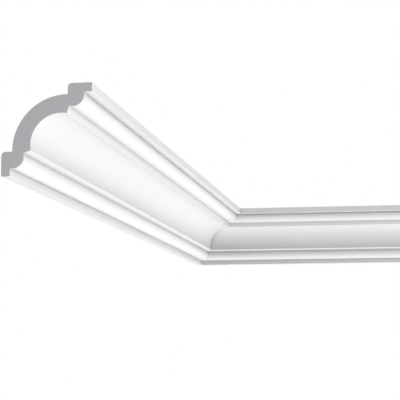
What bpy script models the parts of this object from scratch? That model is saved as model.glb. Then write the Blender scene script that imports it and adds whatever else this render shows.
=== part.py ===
"""Cornice moulding: two lengths of one cove profile, mitred together in the inside corner of a room.

Units are metres and +Z is up. The empty called room_corner stands where the two walls and the ceiling
meet. The left wall is the plane X = 0 of that empty, the back wall is its Y = 0 and the ceiling its Z = 0,
so the moulding lies at +X, -Y and -Z of it. The origin is the middle of the left length's wall bed.

The section is the same above and below its 45 degree line. It is worked out as points (out, down): out is
the distance from the wall that the length runs along, and down is the distance below the ceiling.
"""

import math

import bmesh
import bpy
from mathutils import Euler, Matrix, Vector

MM = 0.001

# The section: its size each way, and the flat edges that bear on the ceiling and on the wall
PROJECTION = 100.0 * MM
EDGE_THICKNESS = 9.9 * MM
BEARING_WIDTH = 26.8 * MM
HEEL_HEIGHT = 12.1 * MM
HEEL_ROUNDING = 4.5 * MM

# The bead behind each edge, and the sharp quirk between the two
QUIRK_STEP = 8.5 * MM
BEAD_DROP = 3.3 * MM
BEAD_RADIUS = 12.0 * MM
BEAD_UNDERCUT = math.radians(22.0)

# The lip at each side of the cove, the cove itself and the material behind it
LIP_WIDTH = 8.8 * MM
LIP_LEAN = math.radians(16.0)
COVE_DEPTH = 14.7 * MM
COVE_THICKNESS = 17.8 * MM

# The two lengths, each measured along its wall from the corner of the room
LEFT_LENGTH = 1237.0 * MM
RIGHT_LENGTH = 412.0 * MM
MITRE_GAP = 0.3 * MM

# How finely the curves are divided, and how close two points are when they are one
COVE_STEPS = 48
BEAD_STEPS = 18
HEEL_STEPS = 5
WELD_DISTANCE = 0.002 * MM

# Finish
SKIN_COLOUR = (0.83, 0.83, 0.82, 1.0)
SKIN_ROUGHNESS = 0.55
SHARP_ANGLE = math.radians(30.0)


def clear_scene():
    for old in list(bpy.data.objects):
        bpy.data.objects.remove(old, do_unlink=True)


def arc(centre, radius, start, end, steps):
    """Points on a circle of the section, from the angle start to the angle end, both included."""
    angles = [start + (end - start) * n / steps for n in range(steps + 1)]
    return [centre + radius * Vector((math.cos(angle), math.sin(angle))) for angle in angles]


def mirrored(points):
    """The same points beyond the 45 degree line, in reverse order."""
    return [Vector((point.y, point.x)) for point in reversed(points)]


def arc_to_mirror(end, depth):
    """An arc from end to its mirror point, which bows by depth towards the corner of the room."""
    middle = (end.x + end.y) / 2
    half_chord = (end - Vector((middle, middle))).length
    radius = (half_chord**2 + depth**2) / (2 * depth)
    centre = Vector((middle, middle)) + Vector((1, 1)).normalized() * (radius - depth)
    to_corner = math.radians(225)
    half_turn = math.atan2(half_chord, radius - depth)
    return arc(centre, radius, to_corner + half_turn, to_corner - half_turn, COVE_STEPS)


def upper_face():
    """The room side above the cove: the edge on the ceiling, the quirk, the bead and the lip."""
    bead_centre = Vector((PROJECTION - QUIRK_STEP - BEAD_RADIUS, EDGE_THICKNESS + BEAD_DROP))
    bead_start = -math.asin(BEAD_DROP / BEAD_RADIUS)
    bead_end = math.radians(90) + BEAD_UNDERCUT
    points = [Vector((PROJECTION, 0)), Vector((PROJECTION, EDGE_THICKNESS))]
    points += arc(bead_centre, BEAD_RADIUS, bead_start, bead_end, BEAD_STEPS)
    lip_direction = Vector((-math.sin(LIP_LEAN), math.cos(LIP_LEAN)))
    points.append(points[-1] + LIP_WIDTH * lip_direction)
    return points


def upper_heel():
    """The back of the edge on the ceiling, from the ceiling down to the start of the curved back."""
    back = PROJECTION - BEARING_WIDTH
    rounding = min(HEEL_ROUNDING, 0.9 * HEEL_HEIGHT)
    centre = Vector((back + rounding, rounding))
    points = arc(centre, rounding, math.radians(270), math.radians(180), HEEL_STEPS)
    return points + [Vector((back, HEEL_HEIGHT))]


def section():
    """The closed outline of the moulding's section, as points (out, down)."""
    face, heel = upper_face(), upper_heel()
    cove = arc_to_mirror(face[-1], COVE_DEPTH)
    cove_bottom = cove[COVE_STEPS // 2].x
    back_bottom = cove_bottom - COVE_THICKNESS / math.sqrt(2)
    heel_middle = (heel[-1].x + heel[-1].y) / 2
    back = arc_to_mirror(heel[-1], (heel_middle - back_bottom) * math.sqrt(2))
    room_side = face + cove[1:-1] + mirrored(face)
    wall_side = heel + back[1:-1] + mirrored(heel)
    return room_side + wall_side[::-1]


def room_corner(collection):
    """The empty in the corner of the room, set so that the origin is on the left length's wall bed."""
    flat_bearing = BEARING_WIDTH - HEEL_ROUNDING
    corner = bpy.data.objects.new("room_corner", None)
    corner.location = (0, LEFT_LENGTH / 2, PROJECTION - flat_bearing / 2)
    collection.objects.link(corner)
    return corner


def filled_outline(name, length, corner):
    """A 2D curve of the section, filled and as thick as the moulding is long."""
    curve = bpy.data.curves.new(name + "_outline", "CURVE")
    curve.dimensions = "2D"
    curve.fill_mode = "BOTH"
    curve.extrude = length / 2
    outline = section()
    spline = curve.splines.new("POLY")
    spline.points.add(len(outline) - 1)
    for spline_point, point in zip(spline.points, outline):
        spline_point.co = (point.x, -point.y, 0, 1)
    spline.use_cyclic_u = True
    outline_object = bpy.data.objects.new(name + "_outline", curve)
    outline_object.parent = corner
    bpy.context.scene.collection.objects.link(outline_object)
    return outline_object


def solid_from(outline_object, name):
    """The closed mesh of a filled curve, in the curve's place. The curve is removed."""
    bpy.context.view_layer.update()
    graph = bpy.context.evaluated_depsgraph_get()
    mesh = bpy.data.meshes.new_from_object(outline_object.evaluated_get(graph))
    mesh.name = name
    work = bmesh.new()
    work.from_mesh(mesh)
    bmesh.ops.remove_doubles(work, verts=work.verts, dist=WELD_DISTANCE)
    bmesh.ops.recalc_face_normals(work, faces=work.faces)
    work.to_mesh(mesh)
    work.free()
    mesh.shade_smooth()
    mesh.set_sharp_from_angle(angle=SHARP_ANGLE)
    solid = bpy.data.objects.new(name, mesh)
    solid.parent = outline_object.parent
    solid.matrix_world = outline_object.matrix_world
    bpy.data.objects.remove(outline_object, do_unlink=True)
    return solid


def mitre_cutter(name, side, corner, collection):
    """A box that takes off what lies past the mitre, on the side (1 or -1) of it that the piece leaves."""
    reach = 2 * PROJECTION
    bpy.ops.mesh.primitive_cube_add(size=1)
    cutter = bpy.context.object
    cutter.name = name
    cutter.parent = corner
    cutter.scale = (reach, 2 * reach, 2 * reach)
    cutter.rotation_euler = (0, 0, math.radians(45))
    cutter.location = Vector((1, 1, 0)).normalized() * side * (reach - MITRE_GAP) / 2
    cutter.hide_render = True
    cutter.display_type = "WIRE"
    for holder in list(cutter.users_collection):
        holder.objects.unlink(cutter)
    collection.objects.link(cutter)
    return cutter


def skin(name):
    """The smooth white surface of the moulding."""
    material = bpy.data.materials.new(name)
    material.use_nodes = True
    shader = material.node_tree.nodes["Principled BSDF"]
    shader.inputs["Base Color"].default_value = SKIN_COLOUR
    shader.inputs["Roughness"].default_value = SKIN_ROUGHNESS
    shader.inputs["Metallic"].default_value = 0.0
    return material


def mitred_length(name, length, place, side, corner, parts, cutters):
    """One length of moulding in its place against the wall, cut square at one end and mitred at the other."""
    outline_object = filled_outline(name, length, corner)
    outline_object.matrix_local = place
    piece = solid_from(outline_object, name)
    piece.data.materials.append(skin(name + "_skin"))
    parts.objects.link(piece)
    mitre = piece.modifiers.new("mitre", "BOOLEAN")
    mitre.operation = "DIFFERENCE"
    mitre.object = mitre_cutter(name + "_mitre_cutter", side, corner, cutters)


def main():
    clear_scene()
    parts = bpy.data.collections.new("cornice_moulding")
    cutters = bpy.data.collections.new("cutters")
    for collection in (parts, cutters):
        bpy.context.scene.collection.children.link(collection)
    corner = room_corner(parts)
    upright = Euler((math.radians(90), 0, 0)).to_matrix().to_4x4()
    along_left_wall = Matrix.Translation((0, -LEFT_LENGTH / 2, 0)) @ upright
    quarter_turn = Matrix.Rotation(math.radians(-90), 4, "Z")
    along_back_wall = Matrix.Translation((RIGHT_LENGTH / 2, 0, 0)) @ quarter_turn @ upright
    mitred_length("left_length", LEFT_LENGTH, along_left_wall, 1, corner, parts, cutters)
    mitred_length("right_length", RIGHT_LENGTH, along_back_wall, -1, corner, parts, cutters)


main()
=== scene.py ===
import math

import bmesh
import bpy
from bpy.props import FloatProperty, FloatVectorProperty, IntProperty, PointerProperty
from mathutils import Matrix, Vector


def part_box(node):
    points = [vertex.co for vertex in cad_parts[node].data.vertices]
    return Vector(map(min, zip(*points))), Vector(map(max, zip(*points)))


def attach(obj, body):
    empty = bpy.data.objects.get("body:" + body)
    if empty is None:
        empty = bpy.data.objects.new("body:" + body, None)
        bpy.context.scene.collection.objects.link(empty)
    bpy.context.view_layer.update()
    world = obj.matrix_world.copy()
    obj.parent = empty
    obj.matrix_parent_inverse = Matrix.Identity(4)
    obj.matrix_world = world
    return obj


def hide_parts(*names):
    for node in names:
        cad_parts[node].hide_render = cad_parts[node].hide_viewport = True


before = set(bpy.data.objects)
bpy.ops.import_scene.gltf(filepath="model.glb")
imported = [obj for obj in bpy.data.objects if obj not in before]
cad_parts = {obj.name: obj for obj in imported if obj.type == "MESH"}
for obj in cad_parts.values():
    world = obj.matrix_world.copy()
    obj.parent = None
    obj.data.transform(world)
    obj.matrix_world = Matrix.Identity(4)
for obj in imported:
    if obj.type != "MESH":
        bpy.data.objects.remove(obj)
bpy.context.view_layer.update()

bl_info = {
    "name": "Mitred Cove Cornice",
    "version": (1, 0, 0),
    "blender": (4, 5, 0),
    "location": "3D View > Sidebar > Cornice",
    "description": "Two mitred lengths of primed cove cornice, and a plain stage to show them on",
    "category": "Add Mesh",
}

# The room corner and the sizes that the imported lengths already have
LEFT_LOW, LEFT_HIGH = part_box("left_length")
RIGHT_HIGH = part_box("right_length")[1]
ROOM_CORNER = Vector((LEFT_LOW.x, RIGHT_HIGH.y, LEFT_HIGH.z))
PROJECTION = LEFT_HIGH.x - LEFT_LOW.x
LEFT_LENGTH = ROOM_CORNER.y - LEFT_LOW.y
RIGHT_LENGTH = RIGHT_HIGH.x - ROOM_CORNER.x

MM = 0.001
SKIN_SLOT = 0
SAWN_SLOT = 1
BOX_TOLERANCE = 0.5 * MM

# The most of the heel's height that its rounding may take, and the fewest spans between a length's rings
HEEL_SHARE = 0.9
FEWEST_SPANS = 2

# The primer: how finely each noise varies, in cycles a metre, and how much its roughness and height vary
MOTTLE_SCALE = 14.0
SHEEN_SCALE = 60.0
SHEEN_SPREAD = 0.06
STIPPLE_SCALE = 900.0
STIPPLE_HEIGHT = 0.02 * MM

# The sawn foam: how many cells there are to a metre and how deep they are, and how its roughness varies
CELL_SCALE = 1400.0
CELL_DEPTH = 0.08 * MM
SAWN_SHEEN_SCALE = 120.0
SAWN_SHEEN_SPREAD = 0.08

# How strongly the sawn foam and the floor reflect, against 0.5 for a usual surface
DULL = 0.3

# The floor
FLOOR_SIDES = 96
FLOOR_ROUGHNESS = 0.9
FLOOR_MOTTLE = 0.02
FLOOR_MOTTLE_SCALE = 0.6

# The wide light from above, and the camera
SUN_ANGLE = math.radians(5)
SENSOR_WIDTH = 36.0
NEAREST_SEEN = 0.01
FARTHEST_SEEN = 500.0

# The colours of the soft lights
WHITE = (0.98, 0.99, 1.0)
COOL_WHITE = (0.955, 0.97, 1.0)

# Each soft light: the name of its power in the stage's settings, its colour, its width, and where it
# stands from the middle of the left length
SOFT_LIGHTS = (
    ("low_light", COOL_WHITE, 3.0, (0.0, 0.0, -2.0)),
    ("corner_light", WHITE, 2.0, (1.5, 1.2, -1.4)),
    ("front_side_light", WHITE, 2.0, (1.7, -1.7, 0.0)),
    ("back_side_light", WHITE, 2.0, (2.0, 1.4, 0.0)),
    ("end_light", WHITE, 0.8, (0.2, -1.6, -0.2)),
    ("wall_side_light", WHITE, 2.0, (-2.0, 1.8, 1.0)),
)


# Settings

class CorniceProfile(bpy.types.PropertyGroup):
    """Sizes of the cornice section, which is the same above and below its 45 degree line"""

    edge_thickness: FloatProperty(
        name="Edge Thickness", description="Height of the flat edge under the ceiling",
        default=9.9 * MM, min=0.0, precision=5, unit="LENGTH")
    bearing_width: FloatProperty(
        name="Bearing Width", description="Width of the flat that bears on the ceiling",
        default=26.8 * MM, min=0.0, precision=5, unit="LENGTH")
    heel_height: FloatProperty(
        name="Heel Height", description="Height of the upright back of the edge",
        default=12.1 * MM, min=0.0, precision=5, unit="LENGTH")
    heel_rounding: FloatProperty(
        name="Heel Rounding", description="Radius at the back corner of the edge",
        default=4.5 * MM, min=0.0, precision=5, unit="LENGTH")
    quirk_step: FloatProperty(
        name="Quirk Step", description="How far the bead stands back from the edge",
        default=8.5 * MM, min=0.0, precision=5, unit="LENGTH")
    bead_drop: FloatProperty(
        name="Bead Drop", description="Height of the centre of the bead below the edge",
        default=3.3 * MM, min=0.0, precision=5, unit="LENGTH")
    bead_radius: FloatProperty(
        name="Bead Radius", description="Radius of the round bead",
        default=12.0 * MM, min=0.0, precision=5, unit="LENGTH")
    bead_undercut: FloatProperty(
        name="Bead Undercut", description="How far the bead turns in behind its lowest line",
        default=math.radians(22.0), min=0.0, subtype="ANGLE")
    lip_width: FloatProperty(
        name="Lip Width", description="Width of the lip between the bead and the cove",
        default=8.8 * MM, min=0.0, precision=5, unit="LENGTH")
    lip_lean: FloatProperty(
        name="Lip Lean", description="How far the lip leans back from upright",
        default=math.radians(16.0), min=0.0, subtype="ANGLE")
    cove_depth: FloatProperty(
        name="Cove Depth", description="Depth of the cove behind the line between its two lips",
        default=14.7 * MM, min=0.0, precision=5, unit="LENGTH")
    cove_thickness: FloatProperty(
        name="Cove Thickness", description="Thickness of the material behind the middle of the cove",
        default=17.8 * MM, min=0.0, precision=5, unit="LENGTH")
    arris_rounding: FloatProperty(
        name="Arris Rounding", description="Radius of the moulded outer corners",
        default=0.4 * MM, min=0.0, precision=5, unit="LENGTH")
    root_rounding: FloatProperty(
        name="Root Rounding", description="Radius in the moulded inner corners",
        default=0.3 * MM, min=0.0, precision=5, unit="LENGTH")
    sawn_rounding: FloatProperty(
        name="Sawn Edge Rounding", description="Radius round the rim of a sawn end",
        default=0.15 * MM, min=0.0, precision=5, unit="LENGTH")
    mitre_joint: FloatProperty(
        name="Mitre Joint", description="Width of the glued joint between the two lengths",
        default=0.05 * MM, min=0.0, precision=5, unit="LENGTH")
    ring_spacing: FloatProperty(
        name="Ring Spacing", description="Distance between two rings of points along a length",
        default=25.0 * MM, min=1.0 * MM, precision=5, unit="LENGTH")
    cove_steps: IntProperty(
        name="Cove Steps", description="Flats that each large curve is divided into",
        default=96, min=8)
    bead_steps: IntProperty(
        name="Bead Steps", description="Flats that each bead is divided into",
        default=40, min=4)
    rounding_steps: IntProperty(
        name="Rounding Steps", description="Flats that each small rounding is divided into",
        default=5, min=1)


class CorniceFinish(bpy.types.PropertyGroup):
    """Colours and surface of the primed face and of the sawn face"""

    primer_colour: FloatVectorProperty(
        name="Primer Colour", description="Colour of the white primer",
        default=(0.83, 0.83, 0.82), size=3, min=0.0, max=1.0, subtype="COLOR")
    primer_roughness: FloatProperty(
        name="Primer Roughness", description="Mean roughness of the primer",
        default=0.7, min=0.0, max=1.0, subtype="FACTOR")
    primer_gloss: FloatProperty(
        name="Primer Gloss", description="How strongly the primer reflects",
        default=0.5, min=0.0, max=1.0, subtype="FACTOR")
    primer_mottle: FloatProperty(
        name="Primer Mottle", description="How much the primer's tone varies from place to place",
        default=0.025, min=0.0, max=1.0, subtype="FACTOR")
    # Painted shade: the primer's colour is darkened where another surface is near, deep in the quirks and
    # the mitre
    crevice_reach: FloatProperty(
        name="Crevice Reach", description="How near another surface is to a point in a crevice",
        default=4.0 * MM, min=0.0, precision=5, unit="LENGTH")
    painted_crevice_shade: FloatProperty(
        name="Crevice Shade",
        description="How much darker the primer is deep in the quirks and the mitre",
        default=0.15, min=0.0, max=1.0, subtype="FACTOR")
    sawn_colour: FloatVectorProperty(
        name="Sawn Colour", description="Colour of the foam where it is sawn",
        default=(0.41, 0.41, 0.42), size=3, min=0.0, max=1.0, subtype="COLOR")
    sawn_roughness: FloatProperty(
        name="Sawn Roughness", description="Mean roughness of the sawn foam",
        default=0.85, min=0.0, max=1.0, subtype="FACTOR")
    sawn_grain: FloatProperty(
        name="Sawn Grain", description="How much darker the open cells of the sawn foam are",
        default=0.06, min=0.0, max=1.0, subtype="FACTOR")


class CorniceStage(bpy.types.PropertyGroup):
    """The floor, the light and the camera"""

    floor_depth: FloatProperty(
        name="Floor Depth", description="Height of the room, from the ceiling to the floor",
        default=2.4, min=0.0, unit="LENGTH")
    floor_radius: FloatProperty(
        name="Floor Radius", description="Radius of the round floor",
        default=60.0, min=0.0, unit="LENGTH")
    floor_colour: FloatVectorProperty(
        name="Floor Colour", description="Colour of the floor",
        default=(0.85, 0.85, 0.85), size=3, min=0.0, max=1.0, subtype="COLOR")
    background_colour: FloatVectorProperty(
        name="Background Colour", description="Colour seen behind the object",
        default=(1.0, 1.0, 1.0), size=3, min=0.0, max=1.0, subtype="COLOR")
    room_light: FloatProperty(
        name="Room Light", description="Strength of the even light from all round",
        default=0.264, min=0.0)
    top_light: FloatProperty(
        name="Top Light", description="Strength of the wide light from above, which brightens the floor",
        default=1.2, min=0.0)
    low_light: FloatProperty(
        name="Low Light", description="Power of the wide soft light from straight below",
        default=51.6, min=0.0, unit="POWER")
    corner_light: FloatProperty(
        name="Corner Light", description="Power of the soft light from below, on the back wall's side",
        default=24.9, min=0.0, unit="POWER")
    front_side_light: FloatProperty(
        name="Front Side Light", description="Power of the soft light from the right, on the front side",
        default=26.2, min=0.0, unit="POWER")
    back_side_light: FloatProperty(
        name="Back Side Light",
        description="Power of the soft light from the right, on the back wall's side",
        default=13.5, min=0.0, unit="POWER")
    end_light: FloatProperty(
        name="End Light", description="Power of the small soft light on the sawn end",
        default=6.6, min=0.0, unit="POWER")
    wall_side_light: FloatProperty(
        name="Wall Side Light", description="Power of the soft light on the side that bears on the walls",
        default=36.0, min=0.0, unit="POWER")
    lens: FloatProperty(
        name="Lens", description="Focal length on a 36 mm sensor, in millimetres",
        default=120.51, min=1.0)
    camera_out: FloatProperty(
        name="Camera Out", description="Distance of the camera from the left wall",
        default=0.4542, unit="LENGTH")
    camera_back: FloatProperty(
        name="Camera Back", description="Distance of the camera from the back wall",
        default=2.6082, unit="LENGTH")
    camera_down: FloatProperty(
        name="Camera Down", description="Distance of the camera below the ceiling",
        default=0.3087, unit="LENGTH")
    camera_left: FloatProperty(
        name="Camera Left", description="How far the camera turns left of the back wall's square",
        default=0.1707, subtype="ANGLE")
    camera_up: FloatProperty(
        name="Camera Up", description="How far the camera looks up",
        default=0.1275, subtype="ANGLE")


# The section

def arc(centre, radius, start, end, steps):
    """Points on a circle of the section, from the angle start to the angle end, both included."""
    angles = [start + (end - start) * n / steps for n in range(steps + 1)]
    return [centre + radius * Vector((math.cos(angle), math.sin(angle))) for angle in angles]


def plain(points):
    """The points as pairs of point and rounding, with no rounding."""
    return [(point, 0.0) for point in points]


def mirrored(outline):
    """The same stretch of outline beyond the 45 degree line, in reverse order."""
    return [(Vector((point.y, point.x)), rounding) for point, rounding in reversed(outline)]


def arc_to_mirror(end, depth, steps):
    """An arc from end to its mirror point, which bows by depth towards the corner of the room."""
    middle = (end.x + end.y) / 2
    half_chord = (end - Vector((middle, middle))).length
    radius = (half_chord**2 + depth**2) / (2 * depth)
    centre = Vector((middle, middle)) + Vector((1, 1)).normalized() * (radius - depth)
    to_corner = math.radians(225)
    half_turn = math.atan2(half_chord, radius - depth)
    return arc(centre, radius, to_corner + half_turn, to_corner - half_turn, steps)


def upper_face(profile):
    """The room side above the cove: the edge on the ceiling, the quirk, the bead and the lip."""
    edge_foot = profile.edge_thickness
    bead_out = PROJECTION - profile.quirk_step - profile.bead_radius
    bead_centre = Vector((bead_out, edge_foot + profile.bead_drop))
    bead_start = -math.asin(profile.bead_drop / profile.bead_radius)
    bead_end = math.radians(90) + profile.bead_undercut
    bead = arc(bead_centre, profile.bead_radius, bead_start, bead_end, profile.bead_steps)
    lip = profile.lip_width * Vector((-math.sin(profile.lip_lean), math.cos(profile.lip_lean)))
    face = [(Vector((PROJECTION, 0)), profile.arris_rounding)]
    face.append((Vector((PROJECTION, edge_foot)), profile.arris_rounding))
    face.append((bead[0], profile.root_rounding))
    face += plain(bead[1:-1])
    face.append((bead[-1], profile.root_rounding))
    face.append((bead[-1] + lip, profile.arris_rounding))
    return face


def upper_heel(profile):
    """The back of the edge on the ceiling, from the ceiling down to the start of the curved back."""
    back = PROJECTION - profile.bearing_width
    rounding = min(profile.heel_rounding, HEEL_SHARE * profile.heel_height)
    centre = Vector((back + rounding, rounding))
    corner = arc(centre, rounding, math.radians(270), math.radians(180), profile.rounding_steps)
    return plain(corner) + [(Vector((back, profile.heel_height)), profile.root_rounding)]


def softened(outline, steps):
    """The closed outline's points, with an arc of the named radius in place of each marked corner."""
    points = []
    for place, (corner, rounding) in enumerate(outline):
        if not rounding:
            points.append(corner)
            continue
        to_last = (outline[place - 1][0] - corner).normalized()
        to_next = (outline[(place + 1) % len(outline)][0] - corner).normalized()
        half = to_last.angle(to_next) / 2
        reach = rounding / math.tan(half)
        centre = corner + (to_last + to_next).normalized() * rounding / math.sin(half)
        first = corner + to_last * reach - centre
        last = corner + to_next * reach - centre
        start = math.atan2(first.y, first.x)
        turn = math.remainder(math.atan2(last.y, last.x) - start, math.tau)
        points += arc(centre, rounding, start, start + turn, steps)
    return points


def section(profile):
    """The closed outline of the section, as points (out, down) from the corner of wall and ceiling."""
    face, heel = upper_face(profile), upper_heel(profile)
    cove = arc_to_mirror(face[-1][0], profile.cove_depth, profile.cove_steps)
    cove_bottom = cove[profile.cove_steps // 2].x
    back_bottom = cove_bottom - profile.cove_thickness / math.sqrt(2)
    heel_end = heel[-1][0]
    back_depth = ((heel_end.x + heel_end.y) / 2 - back_bottom) * math.sqrt(2)
    back = arc_to_mirror(heel_end, back_depth, profile.cove_steps)
    room_side = face + plain(cove[1:-1]) + mirrored(face)
    wall_side = heel + plain(back[1:-1]) + mirrored(heel)
    return softened(room_side + wall_side[::-1], profile.rounding_steps)


def inward(outline):
    """For each point of the outline, the direction into the material."""
    directions = []
    for place, point in enumerate(outline):
        along = outline[(place + 1) % len(outline)] - outline[place - 1]
        directions.append(Vector((-along.y, along.x)).normalized())
    return directions


# The lengths

def left_place(out, down, along):
    """A point of the left length, where along is its distance from the back wall."""
    return ROOM_CORNER + Vector((out, -along, -down))


def right_place(out, down, along):
    """A point of the right length, where along is its distance from the left wall."""
    return ROOM_CORNER + Vector((along, -out, -down))


def rings(profile, length):
    """Each ring of a length as (inset, share, step).

    The section is drawn in by the inset. The share runs from 0 at the mitre to 1 at the sawn end, and the
    step is added to the distance along the length that it gives.
    """
    soft = profile.sawn_rounding
    count = max(FEWEST_SPANS, round(length / profile.ring_spacing))
    found = [(profile.mitre_joint, 0.0, 0.0)]
    found += [(0.0, n / count, profile.mitre_joint * (1 - n / count)) for n in range(count)]
    for n in range(profile.rounding_steps + 1):
        turn = math.radians(90) * n / profile.rounding_steps
        found.append((soft * (1 - math.cos(turn)), 1.0, soft * (math.sin(turn) - 1)))
    return found


def moulding(name, place, length, profile):
    """One length of moulding: the section carried from the mitre to the sawn end, as one closed mesh."""
    outline = section(profile)
    into = inward(outline)
    work = bmesh.new()
    loops = []
    for inset, share, step in rings(profile, length):
        loop = []
        for point, direction in zip(outline, into):
            spot = point + direction * inset
            mitre = spot.x + profile.mitre_joint / math.sqrt(2)
            loop.append(work.verts.new(place(spot.x, spot.y, mitre + (length - mitre) * share + step)))
        loops.append(loop)
    sawn_from = len(loops) - 1 - profile.rounding_steps
    for number, (near, far) in enumerate(zip(loops, loops[1:])):
        for side in range(len(outline)):
            face = work.faces.new((near[side - 1], near[side], far[side], far[side - 1]))
            face.material_index = SAWN_SLOT if number >= sawn_from else SKIN_SLOT
            face.smooth = True
    for loop in (loops[0], loops[-1]):
        cap = work.faces.new(loop)
        cap.material_index = SAWN_SLOT
    bmesh.ops.recalc_face_normals(work, faces=work.faces)
    mesh = bpy.data.meshes.new(name)
    work.to_mesh(mesh)
    work.free()
    return mesh


def check_inside(piece, node):
    """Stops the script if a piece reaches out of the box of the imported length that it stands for."""
    low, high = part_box(node)
    for vertex in piece.data.vertices:
        for axis in range(3):
            if not low[axis] - BOX_TOLERANCE < vertex.co[axis] < high[axis] + BOX_TOLERANCE:
                raise RuntimeError(f"{piece.name} reaches out of {node} at {vertex.co[:]}")


def fit_length(scene, name, node, place, length):
    """Makes one length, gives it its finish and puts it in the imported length's place."""
    mesh = moulding(name, place, length, scene.cornice_profile)
    mesh.materials.append(primer(scene.cornice_finish))
    mesh.materials.append(sawn_foam(scene.cornice_finish))
    piece = bpy.data.objects.new(name, mesh)
    scene.collection.objects.link(piece)
    check_inside(piece, node)
    shading = piece.modifiers.new("flat_faces_stay_flat", "WEIGHTED_NORMAL")
    shading.mode = "FACE_AREA"
    shading.keep_sharp = True
    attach(piece, "root")
    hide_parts(node)


# The finishes

def new_material(name, colour, roughness, gloss):
    """A material with its shader set, and the shader and node tree to build on."""
    material = bpy.data.materials.new(name)
    material.use_nodes = True
    tree = material.node_tree
    shader = tree.nodes["Principled BSDF"]
    shader.inputs["Base Color"].default_value = (*colour, 1.0)
    shader.inputs["Roughness"].default_value = roughness
    shader.inputs["Specular IOR Level"].default_value = gloss
    return material, tree, shader


def object_place(tree):
    """Where a point is in the object's own coordinates, in metres."""
    return tree.nodes.new("ShaderNodeTexCoord").outputs["Object"]


def add_noise(tree, place, scale, detail):
    """Noise of 0 to 1 that varies with place, with scale in cycles a metre and detail in octaves."""
    noise = tree.nodes.new("ShaderNodeTexNoise")
    noise.inputs["Scale"].default_value = scale
    noise.inputs["Detail"].default_value = detail
    tree.links.new(place, noise.inputs["Vector"])
    return noise.outputs["Fac"]


def add_range(tree, value, low, high):
    """The value of 0 to 1 spread from low to high."""
    spread = tree.nodes.new("ShaderNodeMapRange")
    spread.inputs["To Min"].default_value = low
    spread.inputs["To Max"].default_value = high
    tree.links.new(value, spread.inputs["Value"])
    return spread.outputs["Result"]


def add_blend(tree, amount, dark, light):
    """A colour between dark and light, by amount."""
    mix = tree.nodes.new("ShaderNodeMix")
    mix.data_type = "RGBA"
    mix.inputs["A"].default_value = (*dark, 1.0)
    mix.inputs["B"].default_value = (*light, 1.0)
    tree.links.new(amount, mix.inputs["Factor"])
    return mix.outputs["Result"]


def add_crevice_shade(tree, tone, reach, shade):
    """The tone with painted shade: darker by up to shade where another surface is nearer than reach."""
    hollow = tree.nodes.new("ShaderNodeAmbientOcclusion")
    hollow.inputs["Distance"].default_value = reach
    tree.links.new(tone, hollow.inputs["Color"])
    mix = tree.nodes.new("ShaderNodeMix")
    mix.data_type = "RGBA"
    mix.inputs["Factor"].default_value = shade
    tree.links.new(tone, mix.inputs["A"])
    tree.links.new(hollow.outputs["Color"], mix.inputs["B"])
    return mix.outputs["Result"]


def add_bump(tree, height, distance, shader):
    """Raises the shader's surface by height, times distance in metres."""
    bump = tree.nodes.new("ShaderNodeBump")
    bump.inputs["Distance"].default_value = distance
    tree.links.new(height, bump.inputs["Height"])
    tree.links.new(bump.outputs["Normal"], shader.inputs["Normal"])


def scaled(colour, factor):
    """The colour with each part times factor, and none over 1."""
    return tuple(min(1.0, part * factor) for part in colour)


def primer(finish):
    """White primer on moulded foam: a soft mottle, a fine stipple, and painted shade deep in the
    crevices.
    """
    found = bpy.data.materials.get("primed_foam")
    if found:
        return found
    colour = tuple(finish.primer_colour)
    mean = finish.primer_roughness
    material, tree, shader = new_material("primed_foam", colour, mean, finish.primer_gloss)
    place = object_place(tree)
    mottle = add_noise(tree, place, scale=MOTTLE_SCALE, detail=3.0)
    half = finish.primer_mottle / 2
    tone = add_blend(tree, mottle, scaled(colour, 1 - half), scaled(colour, 1 + half))
    # Painted shade: the primer's colour is darkened in the quirks and the mitre, where surfaces near each
    # other
    primer_with_painted_shade = add_crevice_shade(tree, tone, finish.crevice_reach, finish.painted_crevice_shade)
    tree.links.new(primer_with_painted_shade, shader.inputs["Base Color"])
    sheen = add_noise(tree, place, scale=SHEEN_SCALE, detail=2.0)
    roughness = add_range(tree, sheen, mean - SHEEN_SPREAD, mean + SHEEN_SPREAD)
    tree.links.new(roughness, shader.inputs["Roughness"])
    stipple = add_noise(tree, place, scale=STIPPLE_SCALE, detail=2.0)
    add_bump(tree, stipple, STIPPLE_HEIGHT, shader)
    return material


def sawn_foam(finish):
    """Sawn foam: fine open cells, sunk below the walls between them and a little darker."""
    found = bpy.data.materials.get("sawn_foam")
    if found:
        return found
    colour = tuple(finish.sawn_colour)
    mean = finish.sawn_roughness
    material, tree, shader = new_material("sawn_foam", colour, mean, DULL)
    place = object_place(tree)
    cells = tree.nodes.new("ShaderNodeTexVoronoi")
    cells.feature = "DISTANCE_TO_EDGE"
    cells.inputs["Scale"].default_value = CELL_SCALE
    tree.links.new(place, cells.inputs["Vector"])
    walls = add_range(tree, cells.outputs["Distance"], 1.0, 0.0)
    half = finish.sawn_grain / 2
    tone = add_blend(tree, walls, scaled(colour, 1 - half), scaled(colour, 1 + half))
    tree.links.new(tone, shader.inputs["Base Color"])
    sheen = add_noise(tree, place, scale=SAWN_SHEEN_SCALE, detail=3.0)
    roughness = add_range(tree, sheen, mean - SAWN_SHEEN_SPREAD, mean + SAWN_SHEEN_SPREAD)
    tree.links.new(roughness, shader.inputs["Roughness"])
    add_bump(tree, walls, CELL_DEPTH, shader)
    return material


# The stage

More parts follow.
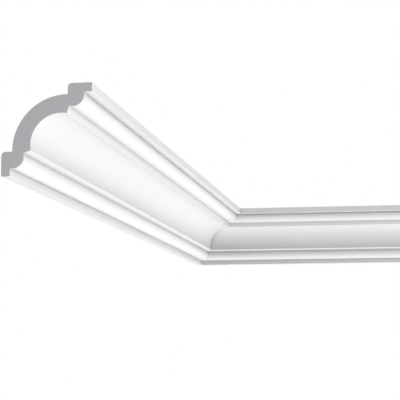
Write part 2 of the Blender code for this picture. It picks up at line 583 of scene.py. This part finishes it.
def add_floor(stage):
    """A round pale floor at the height of the room below the ceiling."""
    bpy.ops.mesh.primitive_circle_add(vertices=FLOOR_SIDES, radius=stage.floor_radius, fill_type="NGON")
    floor = bpy.context.object
    floor.name = "floor"
    floor.location = (0, 0, ROOM_CORNER.z - stage.floor_depth)
    colour = tuple(stage.floor_colour)
    material, tree, shader = new_material("pale_floor", colour, FLOOR_ROUGHNESS, DULL)
    place = object_place(tree)
    mottle = add_noise(tree, place, scale=FLOOR_MOTTLE_SCALE, detail=2.0)
    half = FLOOR_MOTTLE / 2
    tone = add_blend(tree, mottle, scaled(colour, 1 - half), scaled(colour, 1 + half))
    tree.links.new(tone, shader.inputs["Base Color"])
    floor.data.materials.append(material)


def add_background(scene, stage):
    """An even pale background that only the camera sees, and a weaker even light from all round."""
    world = bpy.data.worlds.new("pale_room")
    scene.world = world
    world.use_nodes = True
    tree = world.node_tree
    shown = tree.nodes["Background"]
    shown.inputs["Color"].default_value = (*stage.background_colour, 1.0)
    lighting = tree.nodes.new("ShaderNodeBackground")
    lighting.inputs["Strength"].default_value = stage.room_light
    lighting.inputs["Color"].default_value = (1.0, 1.0, 1.0, 1.0)
    path = tree.nodes.new("ShaderNodeLightPath")
    mix = tree.nodes.new("ShaderNodeMixShader")
    tree.links.new(path.outputs["Is Camera Ray"], mix.inputs["Fac"])
    tree.links.new(lighting.outputs["Background"], mix.inputs[1])
    tree.links.new(shown.outputs["Background"], mix.inputs[2])
    tree.links.new(mix.outputs["Shader"], tree.nodes["World Output"].inputs["Surface"])


def add_soft_lights(scene, stage):
    """Large square lights round the object, which the camera doesn't see."""
    middle = (LEFT_LOW + LEFT_HIGH) / 2
    middle.x = PROJECTION
    for name, colour, size, offset in SOFT_LIGHTS:
        data = bpy.data.lights.new(name, "AREA")
        data.shape = "SQUARE"
        data.size = size
        data.color = colour
        data.energy = getattr(stage, name)
        light = bpy.data.objects.new(name, data)
        light.location = middle + Vector(offset)
        light.rotation_euler = (-Vector(offset)).to_track_quat("-Z", "Y").to_euler()
        light.visible_camera = False
        scene.collection.objects.link(light)


def add_top_light(scene, stage):
    """A wide even light straight down, which brightens the floor."""
    data = bpy.data.lights.new("top_light", "SUN")
    data.energy = stage.top_light
    data.angle = SUN_ANGLE
    light = bpy.data.objects.new("top_light", data)
    light.location = ROOM_CORNER + Vector((0, 0, 1))
    scene.collection.objects.link(light)


def add_camera(scene, stage):
    """The camera, at the photograph's viewing angle and with no shift."""
    data = bpy.data.cameras.new("camera")
    data.sensor_width = SENSOR_WIDTH
    data.lens = stage.lens
    data.clip_start = NEAREST_SEEN
    data.clip_end = FARTHEST_SEEN
    camera = bpy.data.objects.new("camera", data)
    camera.location = ROOM_CORNER + Vector((stage.camera_out, -stage.camera_back, -stage.camera_down))
    camera.rotation_euler = (math.radians(90) + stage.camera_up, 0, stage.camera_left)
    scene.collection.objects.link(camera)
    scene.camera = camera


# Operators

class CORNICE_OT_left_moulding(bpy.types.Operator):
    """Make the long length on the left wall"""

    bl_idname = "cornice.left_moulding"
    bl_label = "Left Moulding"

    def execute(self, context):
        fit_length(context.scene, "left_moulding", "left_length", left_place, LEFT_LENGTH)
        return {"FINISHED"}


class CORNICE_OT_right_moulding(bpy.types.Operator):
    """Make the short length on the back wall"""

    bl_idname = "cornice.right_moulding"
    bl_label = "Right Moulding"

    def execute(self, context):
        fit_length(context.scene, "right_moulding", "right_length", right_place, RIGHT_LENGTH)
        return {"FINISHED"}


class CORNICE_OT_stage(bpy.types.Operator):
    """Set up the floor, the background, the soft lights and the camera"""

    bl_idname = "cornice.stage"
    bl_label = "Stage"

    def execute(self, context):
        scene = context.scene
        stage = scene.cornice_stage
        add_floor(stage)
        add_background(scene, stage)
        add_top_light(scene, stage)
        add_soft_lights(scene, stage)
        add_camera(scene, stage)
        scene.view_settings.view_transform = "Standard"
        # Direct light alone shades the moulding: none of its faces brightens the next
        scene.cycles.diffuse_bounces = 0
        return {"FINISHED"}


class CORNICE_PT_sidebar(bpy.types.Panel):
    """Sizes, finishes and stage of the cornice"""

    bl_idname = "CORNICE_PT_sidebar"
    bl_label = "Mitred Cove Cornice"
    bl_space_type = "VIEW_3D"
    bl_region_type = "UI"
    bl_category = "Cornice"

    def draw(self, context):
        layout = self.layout
        scene = context.scene
        for title, settings in (("Profile", scene.cornice_profile), ("Finish", scene.cornice_finish),
                                ("Stage", scene.cornice_stage)):
            box = layout.box()
            box.label(text=title)
            for name in settings.bl_rna.properties.keys():
                if name not in ("name", "rna_type"):
                    box.prop(settings, name)
        for operator in OPERATORS:
            layout.operator(operator.bl_idname)


SETTINGS = {
    "cornice_profile": CorniceProfile,
    "cornice_finish": CorniceFinish,
    "cornice_stage": CorniceStage,
}
OPERATORS = (CORNICE_OT_left_moulding, CORNICE_OT_right_moulding, CORNICE_OT_stage)


def register():
    for name, group in SETTINGS.items():
        bpy.utils.register_class(group)
        setattr(bpy.types.Scene, name, PointerProperty(type=group))
    for shown in (*OPERATORS, CORNICE_PT_sidebar):
        bpy.utils.register_class(shown)


def unregister():
    for shown in reversed((*OPERATORS, CORNICE_PT_sidebar)):
        bpy.utils.unregister_class(shown)
    for name, group in reversed(SETTINGS.items()):
        delattr(bpy.types.Scene, name)
        bpy.utils.unregister_class(group)


def main():
    register()
    bpy.ops.cornice.left_moulding()
    bpy.ops.cornice.right_moulding()
    bpy.ops.cornice.stage()


if __name__ == "__main__":
    main()
